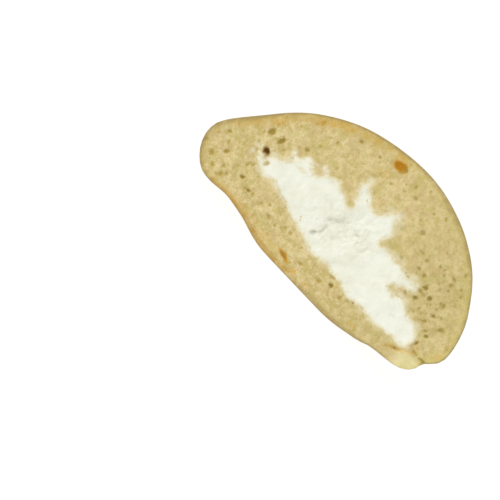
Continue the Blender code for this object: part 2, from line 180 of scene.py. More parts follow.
def packed(name):
    """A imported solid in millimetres, with its loose triangles joined."""
    bm = bmesh.new()
    bm.from_mesh(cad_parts[name].data)
    bmesh.ops.remove_doubles(bm, verts=bm.verts, dist=1e-7)
    bm.transform(Matrix.Scale(1 / MM, 4))
    bm.verts.index_update()
    bm.faces.index_update()
    return bm


def skin_faces(bm):
    """The faces of the baked skin: all that joins the back without a sharp edge."""
    back = max(bm.faces, key=lambda face: face.calc_center_median().y)
    found, queue = {back}, [back]
    while queue:
        for edge in queue.pop().edges:
            if edge.calc_face_angle() < SHARP:
                for face in edge.link_faces:
                    if face not in found:
                        found.add(face)
                        queue.append(face)
    return found


def in_order(parts):
    """Faces or points of a mesh by their numbers, so that every run takes them alike."""
    return sorted(parts, key=lambda part: part.index)


def tree_of(faces):
    """A search tree of those faces alone."""
    points = [vert.co for face in in_order(faces) for vert in face.verts]
    return BVHTree.FromPolygons(points, [range(3 * k, 3 * k + 3) for k in range(len(faces))])


def outer_loop(faces):
    """The points round the open edge of some faces, in order."""
    edges = {edge for face in faces for edge in face.edges if len(faces & {*edge.link_faces}) == 1}
    neighbours = {}
    for edge in edges:
        for vert in edge.verts:
            neighbours.setdefault(vert, []).append(edge.other_vert(vert))
    first = min(neighbours, key=lambda vert: vert.index)
    loop = [first, in_order(neighbours[first])[0]]
    while loop[-1] != first:
        loop.append(next(vert for vert in neighbours[loop[-1]] if vert != loop[-2]))
    return loop[:-1]


def deep_wall(bm, left_out=()):
    """The faces of a solid that reach deep behind the cut, and their points.

    The points round their open edge come first, in order. Their number is given as well.
    """
    wall = {
        face for face in bm.faces
        if face not in left_out and max(vert.co.y for vert in face.verts) > cut_y + POCKET_DEPTH
    }
    edge = outer_loop(wall)
    rest = {vert for face in wall for vert in face.verts} - set(edge)
    return wall, edge + in_order(rest), len(edge)


def numbered(faces, verts, start):
    """Faces as the numbers of their points, the first of which has the number start."""
    number = {vert: start + k for k, vert in enumerate(verts)}
    return [[number[vert] for vert in face.verts] for face in in_order(faces)]


def blurred(values, times, axis, wraps):
    """Values averaged with their neighbours along an axis, that many times."""
    for _ in range(times):
        before, after = np.roll(values, 1, axis), np.roll(values, -1, axis)
        if not wraps:
            before[0], after[-1] = values[0], values[-1]
        values = (before + 2 * values + after) / 4
    return values


def inside(points, loop):
    """Which points lie inside a closed loop."""
    found = np.zeros(len(points), bool)
    x, z = points.T
    for (ax, az), (bx, bz) in zip(loop, np.roll(loop, -1, axis=0)):
        if az != bz:
            found ^= ((az > z) != (bz > z)) & (x < ax + (z - az) * (bx - ax) / (bz - az))
    return found


def from_line(points, line, closed=False):
    """How far each point lies from a line through points."""
    ends = np.roll(line, -1, axis=0) if closed else line[1:]
    nearest = np.full(len(points), np.inf)
    for start, end in zip(np.array(line, float), np.array(ends, float)):
        way = end - start
        share = np.clip((points - start) @ way / (way @ way), 0, 1)
        nearest = np.minimum(nearest, np.hypot(*(points - start - share[:, None] * way).T))
    return nearest


def spread(outer, step, seed):
    """Points strewn evenly inside a loop, in jittered rows."""
    draw = np.random.default_rng(seed)
    low, high = outer.min(axis=0), outer.max(axis=0)
    rows = np.arange(low[1], high[1], step * ROW_STEP)
    found = []
    for k, z in enumerate(rows):
        x = np.arange(low[0] + step * (k % 2) / 2, high[0], step)
        found.append(np.stack([x, np.full(len(x), z)], axis=1))
    found = np.vstack(found)
    found += draw.uniform(-JITTER, JITTER, found.shape) * step
    found = found[inside(found, outer)]
    return found[from_line(found, outer, True) > EDGE_GAP * step]


def triangles_between(loops, inner):
    """Triangles over the inner points inside the first loop and outside the others."""
    edges, start = [], 0
    for loop in loops:
        count = len(loop)
        edges += [(start + k, start + (k + 1) % count) for k in range(count)]
        start += count
    points = np.vstack([*loops, inner])
    _, _, faces, origins, _, _ = geometry.delaunay_2d_cdt(
        [Vector(point) for point in points], edges, [], 0, 1e-6
    )
    back = np.array([origin[0] for origin in origins])
    faces = back[np.array(faces)]
    middles = points[faces].mean(axis=1)
    (ax, az), (bx, bz) = ((points[faces[:, k]] - points[faces[:, 0]]).T for k in (1, 2))
    keep = inside(middles, loops[0]) & (np.abs(ax * bz - az * bx) > SLIVER)
    for loop in loops[1:]:
        keep &= ~inside(middles, loop)
    return faces[keep]


def softened(values, faces, times):
    """Values averaged with those at the other corners of their faces, that many times."""
    ends = np.vstack([faces[:, [0, 1]], faces[:, [1, 2]], faces[:, [2, 0]]])
    count = np.bincount(ends[:, 0], minlength=len(values))
    for _ in range(times):
        total = np.bincount(ends[:, 0], values[ends[:, 1]], len(values))
        values = (values + total / np.maximum(count, 1)) / 2
    return values


def swell(points, size, depth=0.0, octaves=1):
    """Smooth unevenness from -1 to 1 at each point of the cut, with swells of about that size."""
    return np.array([
        noise.fractal(Vector((x / size, depth, z / size)), 1.0, 2.0, octaves) for x, z in points
    ])


def groove(points, line, size):
    """How deep a groove along a line is at each point: steep at its sides, round at its bottom."""
    half, depth = size
    return depth * np.clip(1 - (from_line(points, line) / half) ** 2, 0, 1) ** 0.7


def eased(values, start=0, end=1):
    """0 for values at the start to 1 at the end, with no corner at either. It may run down too."""
    values = np.clip((values - start) / (end - start), 0, 1)
    return values * values * (3 - 2 * values)


def patch(points, x, z, width, height, tilt, edge):
    """1 in a ragged oval on the cut, fading to 0 across that share of it."""
    turn = radians(tilt)
    dx, dz = points[:, 0] - x, points[:, 1] - z
    along, across = dx * cos(turn) + dz * sin(turn), dz * cos(turn) - dx * sin(turn)
    reach = np.hypot(along / (width / 2), across / (height / 2))
    near = reach < 2
    reach[near] += SPOT_RAGGED * swell(points[near], SPOT_SWELLS, x, 2)
    return eased(reach, 1 + edge, 1 - edge)


def spotted(points, spots, edge=0.4):
    """The strongest of some ovals at each point: a list of (strength, oval)."""
    return np.max([strength * patch(points, *oval, edge) for strength, *oval in spots], axis=0)


def write(mesh, name, values):
    """Keeps a number at each point of a mesh, for its material to read."""
    attribute = mesh.attributes.new(name, "FLOAT", "POINT")
    attribute.data.foreach_set("value", np.asarray(values, np.float32))


def keep_sharp(mesh, first, count):
    """Marks the edges of a loop of points as sharp."""
    ends = np.empty(2 * len(mesh.edges), np.int32)
    mesh.edges.foreach_get("vertices", ends)
    on_loop = ((ends >= first) & (ends < first + count)).reshape(-1, 2).all(axis=1)
    mesh.attributes.new("sharp_edge", "BOOLEAN", "EDGE").data.foreach_set("value", on_loop)


def new_object(name, points, faces):
    """A mesh object in metres, shaded smooth and with its faces turned outwards."""
    mesh = bpy.data.meshes.new(name)
    mesh.from_pydata(np.asarray(points) * MM, [], faces)
    bm = bmesh.new()
    bm.from_mesh(mesh)
    bmesh.ops.recalc_face_normals(bm, faces=bm.faces)
    bm.to_mesh(mesh)
    bm.free()
    mesh.shade_smooth()
    obj = bpy.data.objects.new(name, mesh)
    bpy.context.scene.collection.objects.link(obj)
    return obj


def cream_reach(points, from_mouth):
    """How far inside the cream's ragged edge each point lies, below 0 on bare crumb."""
    reach = from_mouth.copy()
    near = np.abs(from_mouth) < STRAY_BELT
    for size, far in STRAYS:
        reach[near] += far * swell(points[near], size, 10 + size, 3)
    return reach


def raised(reach):
    """How far the cream stands in front of the crumb."""
    return FILM * eased(reach, 0, FILM_RISE)


def depth_at(tree, x, z, missed):
    """How far behind the cut a solid lies at x and z, or another value where there is none."""
    hit = tree.ray_cast(Vector((x, cut_y - IN_FRONT, z)), Vector((0, 1, 0)), RAY_LENGTH)[0]
    return hit.y - cut_y if hit else missed


solid = packed("dough")
skin = skin_faces(solid)
cut_y = min(vert.co.y for vert in solid.verts)
middle = Vector((0, cut_y, MIDDLE_HEIGHT))
skin_tree = tree_of(skin)


def skin_reach(turn, rise, forward=0.0):
    """How far the skin lies from the middle of the cut in one direction, or nan."""
    way = Vector((cos(rise) * cos(turn), sin(rise), cos(rise) * sin(turn)))
    start = middle + Vector((0, forward, 0))
    hit = skin_tree.ray_cast(start + way * FAR, -way, FAR - 1)[0]
    return (hit - start).length if hit else np.nan


def mended(values):
    """Missing values filled from their neighbours."""
    known = ~np.isnan(values)
    place = np.arange(len(values))
    return np.interp(place, place[known], values[known])


# The rim, at even steps along its length
fine = np.linspace(0, 2 * pi, FINE_TURNS + 1)[:-1]
fine_reach = mended(np.array([skin_reach(turn, 0.0, JUST_BEHIND) for turn in fine]))
fine_reach = blurred(fine_reach, RIM_BLUR, 0, True)
fine_rim = fine_reach[:, None] * np.stack([np.cos(fine), np.sin(fine)], axis=1)
lengths = np.hypot(*(np.roll(fine_rim, -1, axis=0) - fine_rim).T)
along = np.append(0, np.cumsum(lengths))
rim_count = round(along[-1] / RIM_STEP)
turns = np.interp(
    np.arange(rim_count) / rim_count * along[-1], along, np.append(fine, 2 * pi)
)
rim_reach = np.interp(turns, fine, fine_reach, period=2 * pi)

# The skin, as rings from the rim to the middle of the back
rises = pi / 2 * (np.arange(SKIN_RINGS) / SKIN_RINGS) ** RING_CROWDING
reach = np.array([[skin_reach(turn, rise) for turn in turns] for rise in rises])
reach[0] = rim_reach
reach = np.apply_along_axis(mended, 0, reach)
reach = blurred(blurred(reach, RING_BLUR, 0, False), RIM_BLUR, 1, True)
reach[0] = rim_reach

# Round the middle of the back the points crowd, so there it is worked out on an even grid
axis = np.linspace(-BACK_REACH, BACK_REACH, BACK_GRID)
back = np.array([
    [skin_reach(np.arctan2(up, out), np.arccos(min(np.hypot(up, out), 1))) for out in axis]
    for up in axis
])
back = np.apply_along_axis(mended, 1, back)
back = blurred(blurred(back, BACK_BLUR, 0, False).T, BACK_BLUR, 0, False).T
flat = np.cos(rises)[:, None] * np.stack([np.cos(turns), np.sin(turns)])[:, None]
place = (np.clip(flat / BACK_REACH, -1, 1) + 1) / 2 * (BACK_GRID - 1)
cell = np.minimum(place.astype(int), BACK_GRID - 2)
(across, up), (column, row) = place - cell, cell
on_grid = sum(
    back[row + j, column + k] * (up if j else 1 - up) * (across if k else 1 - across)
    for j in (0, 1) for k in (0, 1)
)
share = eased(np.cos(rises), BACK_BLEND[1], BACK_BLEND[0])[:, None]
reach = reach * (1 - share) + on_grid * share
ring_points = np.stack([
    np.cos(rises)[:, None] * np.cos(turns) * reach,
    np.sin(rises)[:, None] * reach,
    np.cos(rises)[:, None] * np.sin(turns) * reach,
], axis=-1) + np.array(middle)
back_point = np.array(middle) + (0, back[BACK_GRID // 2, BACK_GRID // 2], 0)
ring_points[0, :, 1] = cut_y
ring_points[..., 2] = np.maximum(ring_points[..., 2], 0)

# The seam runs over the rim, so the rim gives way with it
rim_dip = groove(ring_points[0][:, [0, 2]], SEAM, SEAM_SIZE)
behind = ring_points[..., 1] - cut_y
ring_points[..., 1] += rim_dip * np.clip(1 - behind / SEAM_LENGTH, 0, 1)

# The pocket's wall, as the solid has it
pocket, pocket_verts, mouth_count = deep_wall(solid, skin)
pocket_points = np.array([vert.co for vert in pocket_verts])
mouth_line = pocket_points[:mouth_count, [0, 2]]
mouth_reach = cream_reach(mouth_line, np.zeros(mouth_count))
mouth_level = pocket_points[:mouth_count, 1] - cut_y
pocket_points[:mouth_count, 1] -= raised(mouth_reach)

# The cut between the rim and the pocket
rim = ring_points[0][:, [0, 2]]
crumb = spread(rim, CRUMB_STEP, seed=3)
crumb = crumb[~inside(crumb, mouth_line)]
crumb = crumb[from_line(crumb, mouth_line, True) > MOUTH_GAP * CRUMB_STEP]
rind = from_line(crumb, rim, True)
cream_away = from_line(crumb, mouth_line, True)
spread_over = cream_reach(crumb, -cream_away)

face_tree = BVHTree.FromBMesh(solid)
stray = WANDER * eased(rind, 0, 1.5)
looked_at = crumb + np.stack([stray * swell(crumb, 0.9, k, 2) for k in (4, 8)], axis=1)
depths = np.array([depth_at(face_tree, x, z, 0) for x, z in looked_at])
depths = np.minimum(depths, DEEPEST)
depths += FINE_RELIEF * eased(rind, 0, 0.8) * (0.5 + 0.5 * swell(crumb, 1.7, 2, 3))
for line, size in ((SEAM, SEAM_SIZE), (FOLD, FOLD_SIZE), (CREASE, CREASE_SIZE)):
    depths = np.maximum(depths, groove(crumb, line, size))
depths += PORE_DEPTH * spotted(crumb, PORES)

cut_faces = triangles_between([rim, mouth_line], crumb)
crumb_count = len(crumb)
depths = softened(np.concatenate([rim_dip, mouth_level, depths]), cut_faces, 2)
depths = depths[rim_count + mouth_count:] - raised(spread_over)

# All of it as one closed mesh: rings, back, pocket, then crumb
skin_count = SKIN_RINGS * rim_count
pocket_start = skin_count + 1
crumb_start = pocket_start + len(pocket_points)
points = np.vstack([
    ring_points.reshape(-1, 3),
    back_point,
    pocket_points,
    np.stack([crumb[:, 0], cut_y + depths, crumb[:, 1]], axis=1),
])
here, there = np.arange(rim_count), (np.arange(rim_count) + 1) % rim_count
faces = []
for ring in range(SKIN_RINGS - 1):
    a, b = ring * rim_count, (ring + 1) * rim_count
    faces += np.stack([a + here, a + there, b + there, b + here], axis=1).tolist()
last = (SKIN_RINGS - 1) * rim_count
faces += [(last + k, last + n, skin_count) for k, n in zip(here.tolist(), there.tolist())]
faces += numbered(pocket, pocket_verts, pocket_start)
order = np.concatenate([
    here, pocket_start + np.arange(mouth_count), crumb_start + np.arange(crumb_count)
])
faces += order[cut_faces].tolist()
dough = new_object("dough_half", points, faces)
keep_sharp(dough.data, pocket_start, mouth_count)


# What the materials and the gas holes read
BARE = 30.0  # a distance from the cream's edge at which nothing changes any more


def marks(points, from_mouth):
    """Distances in millimetres, and shares from 0 to 1, at points of the cut."""
    x, z = points.T
    direction = np.degrees(np.arctan2(z - MIDDLE_HEIGHT, x)) % 360
    over, under = eased(z, 15, 20), eased(z, 8, 5)
    lip = eased(x, 33, 38) * eased(z, 11.4, 9)
    low_right = eased(x, 36, 41) * eased(z, 25, 19)
    golden = over * (0.55 + 0.35 * eased(x, 8, -12)) + 0.5 * under * eased(x, 14, -2)
    golden = np.maximum(golden + 0.1, 0.7 * eased(x, 34, 40)) * (1 - 0.6 * lip)
    golden = np.maximum(golden, 0.55 * eased(x, -36, -42))
    coarse = np.max([eased(x, 18, 28), eased(z, 12, 7), eased(x, -24, -30)], axis=0)
    return {
        "rind": from_line(points, rim, True),
        "cream_reach": cream_reach(points, from_mouth),
        "crust": np.interp(direction, *np.array(CRUST).T, period=360),
        "lip": lip,
        "golden": np.clip(golden, 0, 1),
        # brown baked crust along the base, laid only where the left-out half's shadow fell: partly
        # painted shadow
        "browned_and_shadowed": under * eased(x, 6, -6) * eased(x, -38, -32),
        # painted shade: darker towards the right, less so at the far lower right
        "shady": 0.3 * eased(x, 4, 24) * (1 - lip) * (1 - 0.7 * low_right),
        "coarse": coarse * (1 - lip),
        "caramel": np.maximum(spotted(points, CARAMEL_SPOTS), spotted(points, GLOWING_SPOTS, 0.9)),
        # painted shade in the dark hole and the creases, with one patch of baked sugar
        "dark_spots": spotted(points, PAINTED_DARK_SPOTS),
        "milky": spotted(points, MILKY, 0.9),
        "thin": spotted(points, THIN, 0.7),
        # painted shade in the cream's tears and pit
        "painted_cream_shade": spotted(points, CREAM_SHADE_SPOTS),
        # painted shade in the listed gas holes
        "hollow": spotted(points, PORES),
    }


def mark(mesh, places, shares, elsewhere):
    """Keeps marks at those points of a mesh, with how far inside the cream the others lie."""
    for name, values in shares.items():
        whole = np.full(len(mesh.vertices), elsewhere if name == "cream_reach" else 0.0)
        whole[places] = values
        write(mesh, name, whole)


cut_points = np.vstack([rim, mouth_line, crumb])
from_mouth = np.concatenate([np.full(rim_count, -BARE), np.zeros(mouth_count), -cream_away])
cut_marks = marks(cut_points, from_mouth)
deep = np.concatenate([np.zeros(rim_count + mouth_count), depths])
# The holes get painted shade that darkens with their depth, lighter in the oval under the crown
paler = 1 - 0.45 * patch(cut_points, *PALE_HOLES, 0.4)
cut_marks["hollow"] = np.maximum(cut_marks["hollow"], eased(deep, 0.42, 1.07)) * paler
mark(dough.data, order, cut_marks, -BARE)
on_crumb = np.zeros(len(points))
on_crumb[order] = 1
write(dough.data, "on_crumb", on_crumb)

# Where holes are pressed into the crumb, and how far they may go near its edges
porous = 0.25 + 0.3 * swell(crumb, 9, 6) + 0.85 * patch(crumb, *OPEN_CRUMB, 0.8)
porous += 0.25 * cut_marks["coarse"][-crumb_count:]
porous *= eased(rind, 0.42, 1.82) * (1 - 0.85 * eased(crumb[:, 0], 37.5, 41.5))
porous *= (1 - cut_marks["lip"][-crumb_count:]) * eased(cream_away, 0.5, 1.3)
for name, values in (
    ("porous", np.clip(porous, 0, 1.5)),
    ("yields", eased(np.minimum(rind, cream_away), 0, 0.6)),
):
    write(dough.data, name, np.concatenate([np.zeros(crumb_start), values]))


# Gas holes in the crumb ------------------------------------------------------------------------
# The dough's gas left round bubbles of many sizes, drawn out along the skin as the bun rose. The
# knife opened them, so each shows as a shallow bowl with a torn edge.

BUBBLES = [  # spacing, smallest and largest radius, depth for its radius, seed
    (1.2 * MM, 0.15 * MM, 0.45 * MM, 0.35, 11),
    (2.2 * MM, 0.35 * MM, 0.8 * MM, 0.4, 23),
    (5.0 * MM, 0.5 * MM, 1.1 * MM, 0.4, 37),
]
STRETCH = 1.4  # how much longer than wide a bubble is
TURN = radians(50)  # how far a bubble may turn from lying along the skin
RAGGED = 0.45  # how far a torn edge strays, as a share of the radius
RAGGED_SIZE = 0.6 * MM
DARK_SIZE = 0.7 * MM  # the radius from which a hole's painted shade is at its darkest
BUBBLE_DENSITY = 1.2  # to a square with the spacing as its side, before they are thinned out


def node(tree, kind, sockets=None, **settings):
    """A new node: settings by name, and sockets given a value or linked to another's output."""
    made = tree.nodes.new(kind)
    for name, value in settings.items():
        setattr(made, name, value)
    for name, value in (sockets or {}).items():
        if isinstance(value, bpy.types.NodeSocket):
            tree.links.new(value, made.inputs[name])
        else:
            made.inputs[name].default_value = value
    return made


def worked(tree, operation, *values):
    """The output of a Math node over those values."""
    made = node(tree, "ShaderNodeMath", dict(enumerate(values)), operation=operation)
    return made.outputs[0]


def scaled(tree, value, by, plus):
    """A value multiplied by another, with a third added."""
    return worked(tree, "MULTIPLY_ADD", value, by, plus)


def product(tree, first, *others):
    """Several values multiplied together."""
    for value in others:
        first = worked(tree, "MULTIPLY", first, value)
    return first


def vectors(tree, operation, *values, **sockets):
    """The output of a Vector Math node, which is a number for a length or a dot product."""
    sockets.update(enumerate(values))
    made = node(tree, "ShaderNodeVectorMath", sockets, operation=operation)
    return made.outputs["Value" if operation in ("LENGTH", "DOT_PRODUCT") else "Vector"]


def geometry_tree(name, inputs):
    """A Geometry Nodes tree, and its named inputs: (name, socket kind, value)."""
    tree = bpy.data.node_groups.new(name, "GeometryNodeTree")
    tree.interface.new_socket("Geometry", in_out="INPUT", socket_type="NodeSocketGeometry")
    for label, kind, value in inputs:
        socket = tree.interface.new_socket(label, in_out="INPUT", socket_type="NodeSocket" + kind)
        if value is not None:
            socket.default_value = value
    tree.interface.new_socket("Geometry", in_out="OUTPUT", socket_type="NodeSocketGeometry")
    return tree, node(tree, "NodeGroupInput").outputs


def end_tree(tree, result, material):
    """Ends a tree with real geometry in one material."""
    whole = node(tree, "GeometryNodeRealizeInstances", {"Geometry": result}).outputs[0]
    coloured = node(tree, "GeometryNodeSetMaterial", {"Geometry": whole, "Material": material})
    node(tree, "NodeGroupOutput", {0: coloured.outputs[0]})


def add_tree(obj, tree, values):
    """Puts a Geometry Nodes tree on an object, with its named inputs set."""
    modifier = obj.modifiers.new(tree.name, "NODES")
    modifier.node_group = tree
    for item in tree.interface.items_tree:
        if item.in_out == "INPUT" and item.name in values:
            modifier[item.identifier] = values[item.name]


def made_plain(obj):
    """Swaps an object's mesh for the result of its modifiers, and removes them."""
    bpy.context.view_layer.update()
    graph = bpy.context.evaluated_depsgraph_get()
    mesh = bpy.data.meshes.new_from_object(obj.evaluated_get(graph))
    obj.modifiers.clear()
    obj.data = mesh


def named(tree, name):
    """A number stored at each point, to read in a tree."""
    made = node(tree, "GeometryNodeInputNamedAttribute", {"Name": name}, data_type="FLOAT")
    return made.outputs["Attribute"]


def random_between(tree, low, high, seed, **sockets):
    """A number or a vector drawn for each point between two others."""
    kind, first = ("FLOAT_VECTOR", 0) if isinstance(low, tuple) else ("FLOAT", 2)
    sockets.update({first: low, first + 1: high, "Seed": seed})
    made = node(tree, "FunctionNodeRandomValue", sockets, data_type=kind)
    return made.outputs[first // 2]


def mostly_small(tree, into, seed, power):
    """A radius for each point between the tree's smallest and largest."""
    small = worked(tree, "POWER", random_between(tree, 0.0, 1.0, seed), power)
    span = worked(tree, "SUBTRACT", into["Largest"], into["Smallest"])
    return scaled(tree, small, span, into["Smallest"])


def flat_on_cut(tree, position):
    """A position without its depth behind the cut."""
    return vectors(tree, "MULTIPLY", position, (1, 0, 1))


def scattered_bubbles(tree, into, position):
    """The middles of the bubbles: points scattered over the crumb, each with a radius."""
    square = product(tree, into["Spacing"], into["Spacing"])
    scattered = node(tree, "GeometryNodeDistributePointsOnFaces", {
        "Mesh": into["Geometry"], "Distance Min": into["Spacing"], "Seed": into["Seed"],
        "Selection": worked(tree, "GREATER_THAN", named(tree, "on_crumb"), 0.5),
        "Density Max": worked(tree, "DIVIDE", BUBBLE_DENSITY, square),
        "Density Factor": named(tree, "porous"),
    }, distribute_method="POISSON")
    level = node(tree, "GeometryNodeSetPosition", {
        "Geometry": scattered.outputs["Points"], "Position": flat_on_cut(tree, position),
    })
    return node(tree, "GeometryNodeStoreNamedAttribute", {
        "Geometry": level.outputs[0], "Name": "radius",
        "Value": mostly_small(tree, into, into["Seed"], 1.8),
    }, data_type="FLOAT", domain="POINT").outputs[0]


def bubble_reach(tree, into, bubbles, position):
    """How far each point lies from the nearest bubble's middle, in radii, and the radius."""
    here = flat_on_cut(tree, position)
    nearest = node(tree, "GeometryNodeSampleNearest", {
        "Geometry": bubbles, "Sample Position": here,
    }, domain="POINT").outputs[0]
    centre, size = (
        node(tree, "GeometryNodeSampleIndex", {
            "Geometry": bubbles, "Value": value, "Index": nearest,
        }, data_type=kind, domain="POINT").outputs[0]
        for value, kind in ((position, "FLOAT_VECTOR"), (named(tree, "radius"), "FLOAT"))
    )

    # Bubbles are longer along the skin, so across is measured outwards from the half's middle
    outward = vectors(tree, "SUBTRACT", centre, (0, 0, MIDDLE_HEIGHT * MM))
    back = worked(tree, "MULTIPLY", into["Turn"], -1)
    turned = node(tree, "ShaderNodeVectorRotate", {
        "Vector": vectors(tree, "NORMALIZE", outward), "Axis": (0, 1, 0),
        "Angle": random_between(tree, back, into["Turn"], into["Seed"], ID=nearest),
    }, rotation_type="AXIS_ANGLE").outputs[0]
    away = vectors(tree, "SUBTRACT", here, centre)
    across = vectors(tree, "DOT_PRODUCT", away, turned)
    length = vectors(tree, "LENGTH", away)
    across = product(tree, across, across)
    along = worked(tree, "SUBTRACT", product(tree, length, length), across)
    across = worked(tree, "MULTIPLY", across, into["Stretch"])
    along = worked(tree, "DIVIDE", along, into["Stretch"])
    off = worked(tree, "SQRT", worked(tree, "ADD", across, along))
    torn = node(tree, "ShaderNodeTexNoise", {
        "Vector": position, "Scale": 1 / RAGGED_SIZE, "Detail": 2.0,
    }).outputs[0]
    torn = product(tree, worked(tree, "SUBTRACT", torn, 0.5), into["Ragged"], 2)
    return worked(tree, "ADD", worked(tree, "DIVIDE", off, size), torn), size


def bubble_tree():
    """Bowls pressed into the crumb at scattered points, with painted shade kept by their depth."""
    tree, into = geometry_tree("gas holes", [
        ("Spacing", "Float", 2 * MM), ("Smallest", "Float", 0.2 * MM),
        ("Largest", "Float", 0.6 * MM), ("Depth", "Float", 0.8), ("Stretch", "Float", STRETCH),
        ("Turn", "Float", TURN), ("Ragged", "Float", RAGGED), ("Seed", "Int", 1),
        ("Material", "Material", None),
    ])
    position = node(tree, "GeometryNodeInputPosition").outputs[0]
    bubbles = scattered_bubbles(tree, into, position)
    reach, size = bubble_reach(tree, into, bubbles, position)

    # A bowl: steep at its edge and round at its bottom
    bowl = worked(tree, "SUBTRACT", 1, product(tree, reach, reach))
    bowl = product(tree, worked(tree, "MAXIMUM", bowl, 0), named(tree, "yields"))
    bowl = worked(tree, "POWER", bowl, 0.9)
    pressed_in = node(tree, "GeometryNodeSetPosition", {
        "Geometry": into["Geometry"],
        "Offset": node(tree, "ShaderNodeCombineXYZ", {
            "Y": product(tree, bowl, size, into["Depth"]),
        }).outputs[0],
    })
    dark = worked(tree, "MINIMUM", worked(tree, "DIVIDE", size, DARK_SIZE), 1)
    shade = worked(tree, "MAXIMUM", named(tree, "hollow"), product(tree, bowl, dark))
    shaded = node(tree, "GeometryNodeStoreNamedAttribute", {
        "Geometry": pressed_in.outputs[0], "Name": "hollow", "Value": shade,
    }, data_type="FLOAT", domain="POINT")
    end_tree(tree, shaded.outputs[0], into["Material"])
    return tree


# Crust and crumb -------------------------------------------------------------------------------
# The skin baked to an even gold, browner on the crown and at the base, with a painted highlight
# beside the cut. The crumb is cream-yellow and mottled, toasted towards the skin, with a few spots
# of burnt sugar. Painted shade darkens its holes, creases and right side, and partly its brown
# base.
# Where it meets the cream the knife rubbed one over the other.


def colour(red, green, blue):
    """A shader's colour from the numbers that a picture of it has, 0 to 255."""
    shares = np.array([red, green, blue]) / 255
    linear = np.where(shares > 0.04045, ((shares + 0.055) / 1.055) ** 2.4, shares / 12.92)
    return (*linear.tolist(), 1)


SKIN = colour(213, 184, 94)
SKIN_DEEP = colour(206, 168, 79)
SKIN_PALE_AND_HIGHLIGHT = colour(220, 194, 107)
SKIN_BASE = colour(204, 164, 80)
SKIN_EDGE = colour(152, 130, 78)
RIND = colour(176, 155, 100)
RIND_BASE = colour(186, 148, 72)
GOLD = colour(200, 170, 88)
GOLD_PALE = colour(203, 187, 108)
CRUMB_DEEP = colour(190, 170, 105)
CRUMB_PALE = colour(226, 208, 154)
CRUMB_ROSY = colour(212, 185, 133)
CRUMB_OLIVE = colour(200, 185, 114)
# painted shade towards the right, on the crumb and, darker, in its holes
CRUMB_SHADY = colour(185, 170, 108)
# painted shade at the bottoms of the holes
HOLLOW_SHADE = colour(176, 151, 62)
HOLLOW_SHADY = colour(152, 135, 64)
LIP = colour(231, 220, 165)
LIP_DEEP = colour(208, 188, 116)
LIP_TILT = radians(20)
LIP_STREAKS = (0.6, 1.0, 1.2)
CARAMEL = colour(212, 156, 32)
PAINTED_DARK_BROWN = colour(128, 80, 14)
MILK = colour(238, 233, 208)
SMEARED = colour(227, 217, 176)
CREAM = colour(239, 239, 223)
CREAM_SHADE = colour(231, 231, 211)
CREAM_SPOT_SHADE = colour(186, 186, 162)
SKIN_ROUGH = 0.48
CRUMB_ROUGH = 0.85
CREAM_SMOOTHER = 0.3  # how much less rough the cream is than what it covers
SHINE = 0.35
BUMP = 0.35
BUMP_DEPTH = 0.25 * MM


def new_material(name):
    """A new material, its node tree and its shader."""
    material = bpy.data.materials.new(name)
    material.use_nodes = True
    return material, material.node_tree, material.node_tree.nodes["Principled BSDF"]


def layered(tree, shade, *layers):
    """A colour with others laid over it in turn: (share from 0 to 1, colour)."""
    for share, paint in layers:
        sockets = {0: share, 6: shade, 7: paint}
        shade = node(tree, "ShaderNodeMix", sockets, data_type="RGBA").outputs[2]
    return shade


def stepped(tree, value, low, high, most=1.0):
    """A share that goes smoothly from 0 where a value is low to the most where it is high."""
    return node(tree, "ShaderNodeMapRange", {
        "Value": value, "From Min": low, "From Max": high, "To Max": most,
    }, interpolation_type="SMOOTHSTEP").outputs[0]


def grain(tree, where, size, detail=2.0, roughness=0.5):
    """Noise with that size in millimetres, 0 to 1."""
    sockets = {"Vector": where, "Scale": 1 / size, "Detail": detail, "Roughness": roughness}
    return node(tree, "ShaderNodeTexNoise", sockets).outputs[0]


def stored(tree, name):
    """An attribute of the mesh, in a material."""
    return node(tree, "ShaderNodeAttribute", attribute_name=name).outputs["Fac"]


def in_millimetres(tree):
    """Places on the object, in millimetres."""
    where = node(tree, "ShaderNodeTexCoord").outputs["Object"]
    return node(tree, "ShaderNodeMapping", {
        "Vector": where, "Scale": (1 / MM, 1 / MM, 1 / MM),
    }).outputs[0]


def flaky(tree, where, name):
    """A stored share, broken up into soft flakes."""
    flakes = scaled(tree, grain(tree, where, 0.9, 3.0), 1.6, 0.25)
    return worked(tree, "MINIMUM", product(tree, flakes, stored(tree, name)), 1)


def mottled_crumb(tree, where):
    """Crumb away from the skin: cream-yellow, mottled, with painted shade in its holes and to the
    right.
    """
    light = scaled(tree, grain(tree, where, 2.2, 4.0, 0.9), 1, -0.5)
    contrast = scaled(tree, stored(tree, "coarse"), 0.35, 1.1)
    tint, shady = grain(tree, where, 3.7, 3.0, 0.7), stored(tree, "shady")
    # painted shade: the holes and the crumb darken towards the right
    bottom = layered(tree, HOLLOW_SHADE, (product(tree, shady, 2.2), HOLLOW_SHADY))
    return layered(
        tree, CRUMB_DEEP,
        (stepped(tree, product(tree, light, contrast), -0.2, 0.2), CRUMB_PALE),
        (stepped(tree, tint, 0.5, 0.68, 0.7), CRUMB_OLIVE),
        (stepped(tree, tint, 0.5, 0.32, 0.6), CRUMB_ROSY),
        (shady, CRUMB_SHADY),
        (product(tree, stored(tree, "hollow"), 0.9), bottom),
    )


def lip_colour(tree, where):
    """The torn lip: pale and close, with streaks along it."""
    along = node(tree, "ShaderNodeMapping", {
        "Vector": where, "Rotation": (0, LIP_TILT, 0), "Scale": LIP_STREAKS,
    }).outputs[0]
    streaks = stepped(tree, grain(tree, along, 1.6, 2.0), 0.4, 0.8, 0.6)
    return layered(tree, LIP, (streaks, LIP_DEEP))


